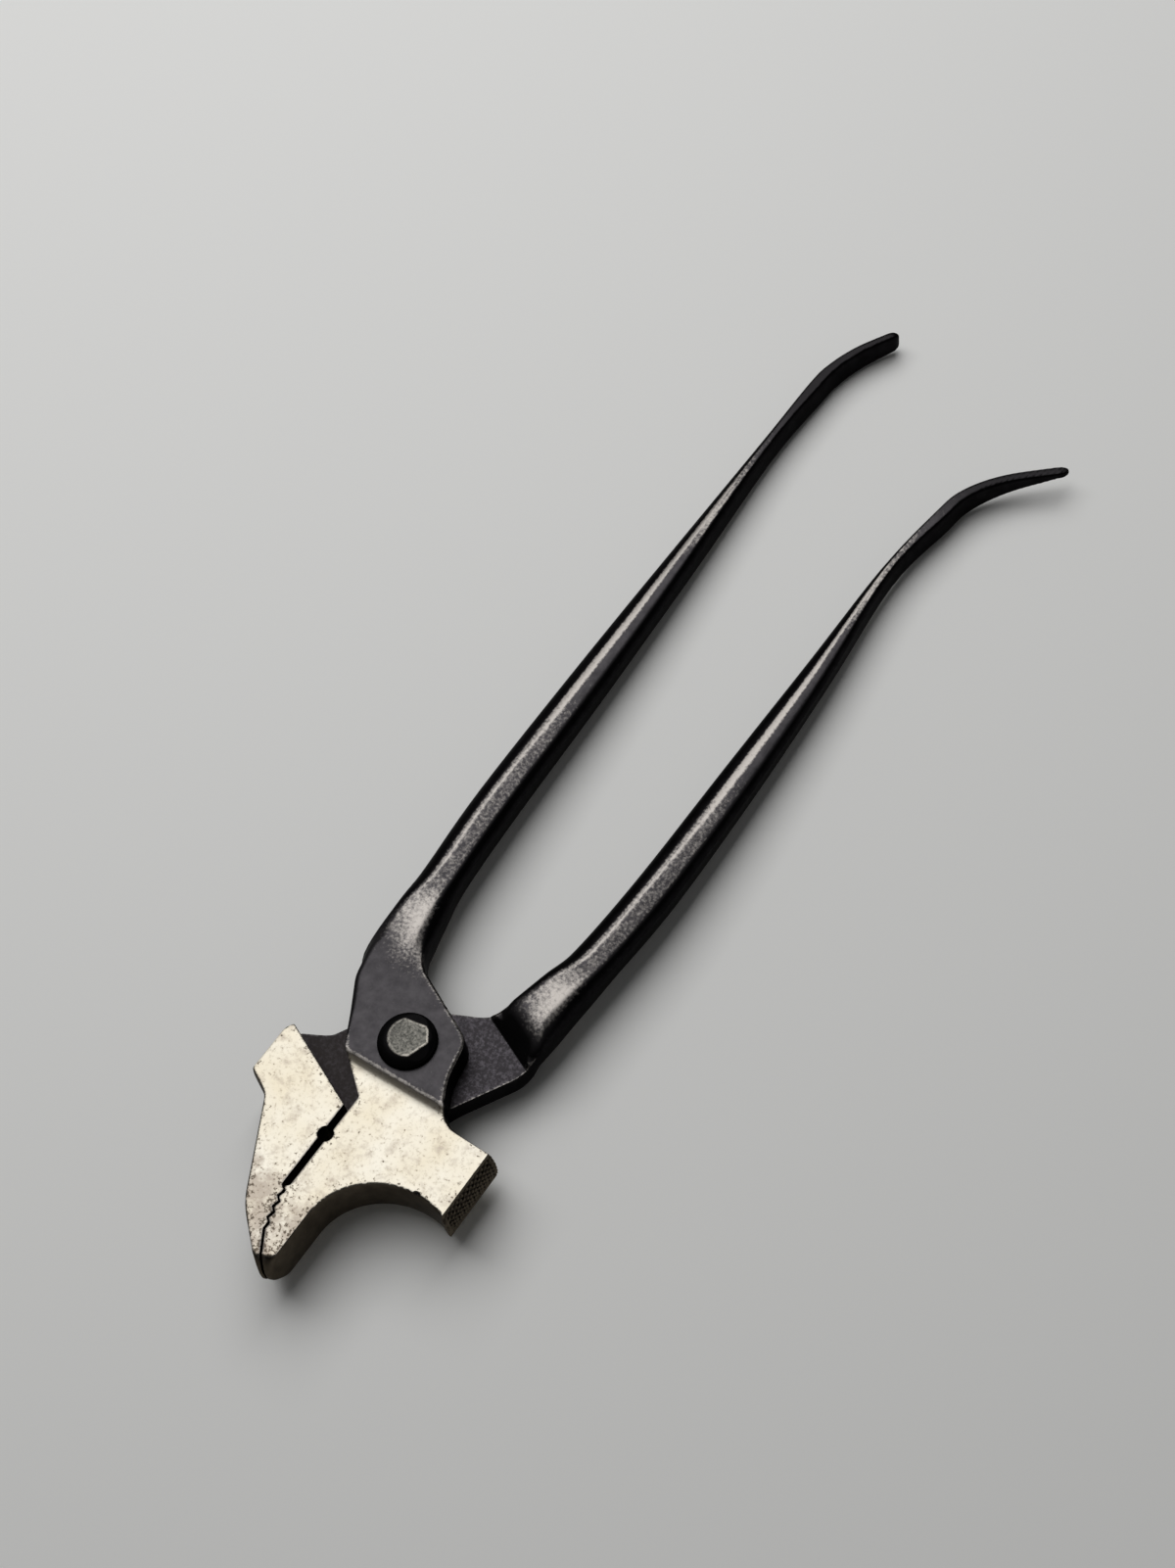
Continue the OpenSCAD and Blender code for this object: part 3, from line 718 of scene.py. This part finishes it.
def per_mm(size):
    """Texture scale on Object coordinates, in metres, for a pattern of that size in millimetres."""
    return 1 / (size * MM)


wear_and_highlight, level, ground, pitted, tip, lap, wall, struck, rim, painted_shade = (
    add_node(tree, "Attribute", attribute_name=key).outputs["Fac"]
    for key in ("wear_and_highlight", "level", "ground", "pitted", "tip", "lap", "wall", "struck", "rim", "painted_shade")
)
grain, mottle, cloud = (
    add_node(tree, "TexNoise", {
        "Vector": place, "Scale": per_mm(size), "Detail": detail, "Roughness": 0.65
    }).outputs["Fac"]
    for size, detail in ((grain_size, 3.0), (mottle_size, 4.0), (cloud_size, 2.0))
)

blotch = add_node(tree, "MapRange", {"Value": mottle, "From Min": 0.35, "From Max": 0.7, "To Max": 0.5})
# The level attribute greys the scale: partly rubbed flats, partly painted light on the tops and painted
# shade on the sides
scale_tone = add_node(tree, "Mix", {
    0: level, 6: linear("#111011"), 7: linear("#403e40")
}, data_type="RGBA")
scale_tone = add_node(tree, "Mix", {
    0: blotch.outputs[0], 6: scale_tone.outputs[2], 7: linear("#222123")
}, data_type="RGBA")
# The bare share carries real wear together with the painted highlights and sheen from the mesh
bare = add_node(tree, "Math", {0: grain, 1: 0.9, 2: wear_and_highlight}, operation="MULTIPLY_ADD")
bare = add_node(tree, "MapRange", {
    "Value": bare.outputs[0], "From Min": 0.575, "From Max": 1.075
}, interpolation_type="SMOOTHSTEP")
tone = add_node(tree, "Mix", {
    0: bare.outputs[0], 6: scale_tone.outputs[2], 7: linear("#a19c97")
}, data_type="RGBA")
lap_speck = add_node(tree, "MapRange", {"Value": grain, "From Min": 0.45, "From Max": 0.68})
lap_tone = add_node(tree, "Mix", {
    0: lap_speck.outputs[0], 6: linear("#2a282a"), 7: linear("#464347")
}, data_type="RGBA")
tone = add_node(tree, "Mix", {0: lap, 6: tone.outputs[2], 7: lap_tone.outputs[2]}, data_type="RGBA")
wall_tone = add_node(tree, "Mix", {
    0: mottle, 6: linear("#2f2a24"), 7: linear("#645b4e")
}, data_type="RGBA")
tone = add_node(tree, "Mix", {0: wall, 6: tone.outputs[2], 7: wall_tone.outputs[2]}, data_type="RGBA")
struck_tone = add_node(tree, "Mix", {
    0: rim, 6: linear("#100d0b"), 7: linear("#5e564a")
}, data_type="RGBA")
tone = add_node(tree, "Mix", {
    0: struck, 6: tone.outputs[2], 7: struck_tone.outputs[2]
}, data_type="RGBA")

# On the ground faces: cream, a little yellower in clouds, smudged grey at the jaws' tips, with fine
# brown specks all over and dark pits near the edges
warm = add_node(tree, "MapRange", {"Value": cloud, "From Min": 0.35, "From Max": 0.7})
cream = add_node(tree, "Mix", {
    0: warm.outputs[0], 6: linear("#bbb6aa"), 7: linear("#b5ad9b")
}, data_type="RGBA")
smudge = add_node(tree, "Math", {0: tip, 1: 0.26, 2: mottle}, operation="MULTIPLY_ADD")
smudge = add_node(tree, "MapRange", {
    "Value": smudge.outputs[0], "From Min": 0.52, "From Max": 0.78, "To Max": 0.8
})
cream = add_node(tree, "Mix", {
    0: smudge.outputs[0], 6: cream.outputs[2], 7: linear("#8a8076")
}, data_type="RGBA")
speck = add_node(tree, "Math", {0: tip, 1: 0.07, 2: grain}, operation="MULTIPLY_ADD")
speck = add_node(tree, "MapRange", {
    "Value": speck.outputs[0], "From Min": 0.54, "From Max": 0.74, "To Max": 0.65
})
cream = add_node(tree, "Mix", {
    0: speck.outputs[0], 6: cream.outputs[2], 7: linear("#85796a")
}, data_type="RGBA")
pit = add_node(tree, "Math", {0: grain, 1: pitted}, operation="ADD")
pit = add_node(tree, "MapRange", {
    "Value": pit.outputs[0], "From Min": 0.66, "From Max": 0.74, "To Max": 0.85
}, interpolation_type="SMOOTHSTEP")
cream = add_node(tree, "Mix", {
    0: pit.outputs[0], 6: cream.outputs[2], 7: linear("#3f372e")
}, data_type="RGBA")
tone = add_node(tree, "Mix", {0: ground, 6: tone.outputs[2], 7: cream.outputs[2]}, data_type="RGBA")
# Painted shade: near-black laid over the hollows and the left of the lap
tone = add_node(tree, "Mix", {0: painted_shade, 6: tone.outputs[2], 7: linear("#1c1917")}, data_type="RGBA")

rough = add_node(tree, "Mix", {0: ground, 2: scale_roughness, 3: ground_roughness})
rough = add_node(tree, "Math", {
    0: grain, 1: grain_roughness, 2: rough.outputs[0]
}, operation="MULTIPLY_ADD")
bump = add_node(tree, "Bump", {"Height": grain, "Strength": 0.3, "Distance": grain_height * MM})
shader = add_node(tree, "BsdfPrincipled", {
    "Base Color": tone.outputs[2], "Metallic": 1.0, "Roughness": rough.outputs[0],
    "Normal": bump.outputs[0], "Specular Tint": linear("#c0c0c0")
})
add_node(tree, "OutputMaterial", {"Surface": shader.outputs[0]})
hammer_mesh.materials.append(steel)

hammer_lever = bpy.data.objects.new("hammer_lever_forging", hammer_mesh)
bpy.context.scene.collection.objects.link(hammer_lever)
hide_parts("hammer_lever")
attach(hammer_lever, "hammer_half")

# Beak lever: the other drop forging, with the right handle, the lower joint plate and the left jaw with
# its hooked beak. It is finished like the hammer lever, and its bore turns on the rivet's shank.
beak_reach = 20.0
beak_top_y = 8.1
beak_flat = 9.6
beak_jaw_w = 0.5
beak_grip = grip_edge - [grip_gap / 2, 0, 0]
beak_gap_x = -gap_offset - jaw_gap / 2
beak_root = [18.4, 7.4, 8]
beak_throat = [
    [9, -8.2, 6],
    [beak_gap_x, -throat_y, corner_r],
    [beak_gap_x, tooth_depth - grip_y, 0],
]
beak_outline = rounded(np.vstack([
    [-8.3, 5.6, 4],
    [7, 12.5, 8],
    [neck_x - facet_w / 2, neck_y, 0],
    [neck_x + facet_w / 2, neck_y, 0],
    beak_root,
    beak_throat,
    beak_grip,
    [past_nose[0] - grip_gap / 2 - beak_jaw_w, past_nose[1], 0],
    [-6, -36.8, 14],
    [-15.2, -beak_top_y - beak_flat - 2.4, 4],
    [-beak_reach, -beak_top_y - beak_flat, corner_r],
    [-beak_reach, -beak_top_y, 3],
    [-14.3, -4.5, 3],
]))
beak_mating = np.vstack([beak_root, beak_throat, beak_grip])[:, :2]
beak_path = handle_path(
    blade_x=16.3, blade_y=126.0, bow=0.45, bend_x=18.5, bend_y=142.0, sweep=13.75, end_y=161.7, tip_h=1.4
)
beak_plan = plan_lookup(beak_outline, beak_mating, beak_path)


def beak_field(x, y, z):
    """The beak lever: its forging, plate down."""
    return forging(x, y, z, -1, beak_plan, beak_path)


beak_mesh = lever_mesh("beak_lever_forging", beak_field, -1, *lever_grid(-22, 36, 168))
beak_mesh.materials.append(steel)
beak_lever = bpy.data.objects.new("beak_lever_forging", beak_mesh)
bpy.context.scene.collection.objects.link(beak_lever)
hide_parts("beak_lever")
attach(beak_lever, "beak_half")

# Pivot rivet: a solid steel rivet, closed cold with a hammer. Its upper head is a black dome that the
# last blows left with a worn flat and slanting trims, and its shank holds the two plates together.
rivet_r = 5.2
shank_r = 3.0
head_h = 2.2
head_rim_h = 0.35
dome_h = 2.17
dome_fullness = 0.8
seat_z = rivet_high[2] - head_h
low_seat_z = rivet_low[2] + head_h - lap_gap / 2
flat_tilt = np.radians(2.5)
flat_fall = np.array([0.8165, 0.577])
flat_start = 2.7
flat_blend = 0.08
trims = [(35, 3.1, 24), (95, 2.6, 22), (-15, 2.7, 24)]
rivet_crease = np.radians(50)


def rivet_surface(columns=144, rows=56):
    """Points of the rivet on a grid of angle round its axis and steps t down its profile, with the depth
    of the worn flat under the dome and trims. The dome is rivet_r sin(t) ** dome_fullness wide and
    dome_h cos(t) tall over a short rim. A flat that falls to the right cuts it off, and each trim
    (heading, start, tilt in degrees) is a plane that falls outwards from its start."""
    angle = np.arange(columns) * 2 * np.pi / columns
    t = np.linspace(0, np.pi / 2, rows + 1)[1:]
    r = rivet_r * np.sin(t)[:, None] ** dome_fullness + 0 * angle
    dome = head_rim_h + dome_h * np.cos(t)[:, None] + 0 * angle
    x, y = r * np.cos(angle), r * np.sin(angle)
    flat = head_h - np.tan(flat_tilt) * (flat_fall[0] * x + flat_fall[1] * y + flat_start)
    rest = dome
    for heading, start, tilt in trims:
        heading, tilt = np.radians([heading, tilt])
        outward = x * np.cos(heading) + y * np.sin(heading) - start
        rest = np.minimum(rest, head_h - np.tan(tilt) * outward)
    top = np.minimum(soft_join(rest, flat, flat_blend), head_h)
    upper = np.stack([x, y, seat_z + top], axis=-1)
    foot = np.maximum(low_seat_z - dome, rivet_low[2])
    lower = np.stack([x, y, foot], axis=-1)[::-1]
    ring = np.stack([np.cos(angle), np.sin(angle), 0 * angle], axis=-1)
    seats = np.stack([
        ring * radius + [0, 0, z]
        for radius, z in (
            (rivet_r, seat_z), (shank_r, seat_z), (shank_r, low_seat_z), (rivet_r, low_seat_z)
        )
    ])
    points = np.vstack([upper, seats, lower])
    depth = np.vstack([rest - flat, np.full((rows + 4, columns), -1.0)])
    return points, depth


rivet_points, depth = rivet_surface()
rivet_rows, rivet_columns = depth.shape
row, column = np.meshgrid(np.arange(rivet_rows - 1), np.arange(rivet_columns), indexing="ij")
after = (column + 1) % rivet_columns
sides = np.stack([
    row * rivet_columns + column, (row + 1) * rivet_columns + column,
    (row + 1) * rivet_columns + after, row * rivet_columns + after,
], axis=-1).reshape(-1, 4)
upper_pole = rivet_rows * rivet_columns
around = np.arange(rivet_columns)
following = (around + 1) % rivet_columns
last_row = (rivet_rows - 1) * rivet_columns
caps = np.vstack([
    np.stack([np.full_like(around, upper_pole), around, following], axis=1),
    np.stack([np.full_like(around, upper_pole + 1), last_row + following, last_row + around], axis=1),
])
poles = [[0, 0, rivet_points[0, :, 2].mean()], [0, 0, rivet_low[2]]]
rivet_mesh = bpy.data.meshes.new("closed_rivet")
rivet_vertices = np.vstack([rivet_points.reshape(-1, 3), poles])
rivet_mesh.from_pydata(rivet_vertices * MM, [], sides.tolist() + caps.tolist())
depth = np.append(depth.reshape(-1), [depth[0].mean(), -1])

# The flat and its rim, told by the flat's depth, are rubbed brighter to the right, from a least share up
rub_heading = [1.0, 0.05, 0]
flat_depth = (-0.02, 0.05)
flat_rub = (-3.4, -0.6)
flat_least = 0.5
rim_depth = (-0.06, 0.0, 0.05, 0.14)
rim_rub = (0, 2.5)
rim_least = 0.3
toward_right = np.append(rivet_points.reshape(-1, 3) @ rub_heading, [0, 0])
flat_bright = flat_least + (1 - flat_least) * smooth_step(*flat_rub, toward_right)
rim_bright = rim_least + (1 - rim_least) * smooth_step(*rim_rub, toward_right)
rivet_marks = {
    "flat": smooth_step(*flat_depth, depth) * flat_bright,
    "rim": eased(depth, *rim_depth) * rim_bright,
}
for key, value in rivet_marks.items():
    rivet_mesh.attributes.new(key, "FLOAT", "POINT").data.foreach_set("value", value.astype("f"))
rivet_mesh.shade_smooth()
rivet_mesh.set_sharp_from_angle(angle=rivet_crease)

# Hammered rivet steel: a near-black dome, and a grey flat whose rim is rubbed to bare metal. Its grain is
# drawn coarser than real, so that it shows.
rivet_grain_size = 0.4
rivet_roughness = 0.42
rivet_steel = bpy.data.materials.new("hammered_rivet_steel")
rivet_steel.use_nodes = True
tree = rivet_steel.node_tree
tree.nodes.clear()
place = add_node(tree, "TexCoord").outputs["Object"]
flat, rim = (add_node(tree, "Attribute", attribute_name=key).outputs["Fac"] for key in ("flat", "rim"))
grain = add_node(tree, "TexNoise", {
    "Vector": place, "Scale": per_mm(rivet_grain_size), "Detail": 4.0, "Roughness": 0.6
}).outputs["Fac"]
speck = add_node(tree, "MapRange", {"Value": grain, "From Min": 0.35, "From Max": 0.68})
flat_tone = add_node(tree, "Mix", {
    0: speck.outputs[0], 6: linear("#3b3b38"), 7: linear("#716f69")
}, data_type="RGBA")
tone = add_node(tree, "Mix", {0: flat, 6: linear("#1a191a"), 7: flat_tone.outputs[2]}, data_type="RGBA")
shine = add_node(tree, "MapRange", {"Value": grain, "From Min": 0.3, "From Max": 0.55, "To Max": rim})
tone = add_node(tree, "Mix", {
    0: shine.outputs[0], 6: tone.outputs[2], 7: linear("#a8a39a")
}, data_type="RGBA")
bump = add_node(tree, "Bump", {"Height": grain, "Strength": 0.4, "Distance": grain_height * MM})
shader = add_node(tree, "BsdfPrincipled", {
    "Base Color": tone.outputs[2], "Metallic": 1.0, "Roughness": rivet_roughness,
    "Normal": bump.outputs[0], "Specular Tint": linear("#c0c0c0")
})
add_node(tree, "OutputMaterial", {"Surface": shader.outputs[0]})
rivet_mesh.materials.append(rivet_steel)
rivet = bpy.data.objects.new("closed_rivet", rivet_mesh)
bpy.context.scene.collection.objects.link(rivet)
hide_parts("pivot_rivet")
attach(rivet, "hammer_half")

# Bench: a plain pale grey table top. The pliers lie on the rivet's lower head and on their handles' ends,
# so in their own frame the bench rises a little towards the handles from the edge of the rivet's foot.
half_bench = 2.0
foot_y = 3.0
bench_tilt = np.radians(1.6)
bench_mesh = bpy.data.meshes.new("bench")
bench_corners = [
    (x * half_bench, y * half_bench, (y * half_bench - foot_y * MM) * np.tan(bench_tilt))
    for x, y in ((-1, -1), (1, -1), (1, 1), (-1, 1))
]
bench_mesh.from_pydata(bench_corners, [], [(0, 1, 2, 3)])
bench = bpy.data.objects.new("bench", bench_mesh)
bpy.context.scene.collection.objects.link(bench)

# Satin laminate: an even pale grey that shows soft shadows and no mirror image
bench_paint = bpy.data.materials.new("pale_grey_laminate")
bench_paint.use_nodes = True
laminate = bench_paint.node_tree.nodes["Principled BSDF"]
laminate.inputs["Base Color"].default_value = linear("#f0f0ee")
laminate.inputs["Roughness"].default_value = 0.6
bench_mesh.materials.append(bench_paint)

# Light: one wide soft panel overhead, to the left and behind, which the ground faces mirror to the eye
# and which throws the soft shadows, in a dim room.
panel_place = Vector((-0.45, 0.42, 0.80))
panel_size = (0.94, 1.2)
panel_radiance = 2.2
room_strength = 0.08
panel = bpy.data.lights.new("soft_panel", "AREA")
panel.shape = "RECTANGLE"
panel.size, panel.size_y = panel_size
panel.energy = np.pi * panel.size * panel.size_y * panel_radiance
panel_object = bpy.data.objects.new("soft_panel", panel)
panel_object.location = panel_place
bpy.context.scene.collection.objects.link(panel_object)
room = bpy.data.worlds.new("dim_room")
room.use_nodes = True
dim_walls = room.node_tree.nodes["Background"]
dim_walls.inputs["Color"].default_value = linear("#ffffff")
dim_walls.inputs["Strength"].default_value = room_strength
bpy.context.scene.world = room
bpy.context.scene.view_settings.view_transform = "Standard"

# Camera: standing at the bench by the hammer's side. The focal length and the point where plumb lines
# meet are in pixels of the 1200 by 1601 picture, and the heading is the turn of the handles in it.
picture = np.array([1200.0, 1601.0])
focal = 2400.0
plumb_meet = np.array([930.0, 2262.0])
heading = np.radians(35.26)
eye = np.array([155.95, -95.94, 366.86]) * MM
plumb = unit(np.append((plumb_meet - picture / 2) / focal, 1.0))
sideways = unit(np.array([1.0, 0.0, 0.0]) - plumb[0] * plumb)
away = np.cross(sideways, plumb)
axes = np.array([
    np.cos(heading) * sideways - np.sin(heading) * away,
    np.sin(heading) * sideways + np.cos(heading) * away,
    -plumb,
])
camera = bpy.data.cameras.new("eye")
camera.sensor_width = 36.0
camera.lens = focal / picture.max() * camera.sensor_width
camera_object = bpy.data.objects.new("eye", camera)
pose = np.eye(4)
pose[:3, :3] = axes * [1, -1, -1]
pose[:3, 3] = eye
camera_object.matrix_world = Matrix(pose)
bpy.context.scene.collection.objects.link(camera_object)
bpy.context.scene.camera = camera_object
